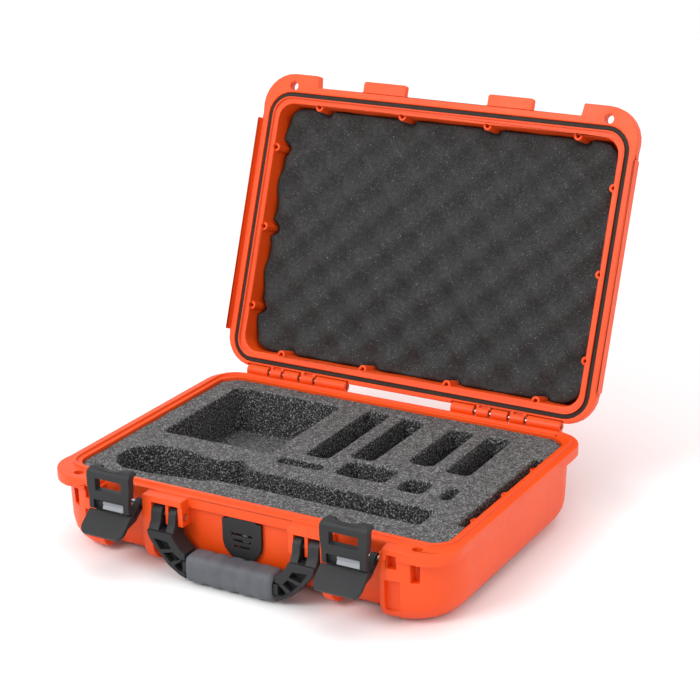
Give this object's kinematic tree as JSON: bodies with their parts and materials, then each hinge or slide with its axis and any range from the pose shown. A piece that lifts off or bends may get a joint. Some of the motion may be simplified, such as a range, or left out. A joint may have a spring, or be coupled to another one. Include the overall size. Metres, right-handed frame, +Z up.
{
  "type": "hard carrying case",
  "caption": "Orange hard carrying case with a hinged lid, two claw latches, a folding handle, a sealed rim and a foam insert cut for equipment.",
  "frame": {"origin": "middle of the flat centre pad on the underside", "axes": "+Z up, front with the handle and latches towards -Y, +X to the right of someone who faces the front"},
  "size_m": [0.363, 0.4223, 0.3204],
  "materials": {
    "shell": "orange moulded plastic, satin",
    "charcoal": "charcoal moulded plastic, satin",
    "grip": "grey overmoulded rubber, matt",
    "light_grey": "light grey plastic, satin",
    "seal": "dark rubber, matt",
    "insert_foam": "grey granular foam",
    "lid_foam": "dark open-cell foam",
    "steel": "plain steel",
    "membrane": "pale membrane"
  },
  "bodies": {
    "base": {"base_shell": "shell", "foam_insert": "insert_foam", "foam_floor_pad": "lid_foam", "hinge_pin_left": "steel", "hinge_pin_right": "steel", "lever_pin_left": "steel", "lever_pin_right": "steel", "handle_pin_left": "steel", "handle_pin_right": "steel", "valve_cover": "charcoal", "valve_body": "charcoal", "valve_o_ring": "seal", "valve_membrane": "membrane"},
    "lid": {"lid_shell": "shell", "lid_gasket": "seal", "lid_foam": "lid_foam"},
    "handle": {"handle_frame": "charcoal", "handle_grip": "grip"},
    "lever_left": {"latch_lever_left": "charcoal", "claw_pin_left": "steel"},
    "claw_left": {"latch_claw_left": "charcoal"},
    "slide_left": {"slide_lock_left": "light_grey"},
    "lever_right": {"latch_lever_right": "charcoal", "claw_pin_right": "steel"},
    "claw_right": {"latch_claw_right": "charcoal"},
    "slide_right": {"slide_lock_right": "light_grey"}
  },
  "joints": [
    {"name": "lid_hinge", "type": "hinge", "parent": "base", "child": "lid", "pos_m": [0, 0.13, 0.0665], "axis": [1, 0, 0], "range_deg": [0, 110]},
    {"name": "handle_swing", "type": "hinge", "parent": "base", "child": "handle", "pos_m": [0, -0.1326, 0.048], "axis": [-1, 0, 0], "range_deg": [0, 85]},
    {"name": "lever_left_turn", "type": "hinge", "parent": "base", "child": "lever_left", "pos_m": [-0.1044, -0.134, 0.0527], "axis": [1, 0, 0], "range_deg": [0, 50]},
    {"name": "claw_left_turn", "type": "hinge", "parent": "lever_left", "child": "claw_left", "pos_m": [-0.1044, -0.14301, 0.04639], "axis": [-1, 0, 0], "range_deg": [0, 68]},
    {"name": "slide_left_move", "type": "slide", "parent": "claw_left", "child": "slide_left", "axis": [-1, 0, 0], "range_m": [0, 0.0085]},
    {"name": "lever_right_turn", "type": "hinge", "parent": "base", "child": "lever_right", "pos_m": [0.1044, -0.134, 0.0527], "axis": [1, 0, 0], "range_deg": [0, 50]},
    {"name": "claw_right_turn", "type": "hinge", "parent": "lever_right", "child": "claw_right", "pos_m": [0.1044, -0.14301, 0.04639], "axis": [-1, 0, 0], "range_deg": [0, 68]},
    {"name": "slide_right_move", "type": "slide", "parent": "claw_right", "child": "slide_right", "axis": [-1, 0, 0], "range_m": [0, 0.0085]}
  ],
  "couplings": [
    {"joint": "claw_left_turn", "follows": "lever_left_turn", "ratio": 1.36},
    {"joint": "claw_right_turn", "follows": "lever_right_turn", "ratio": 1.36}
  ]
}
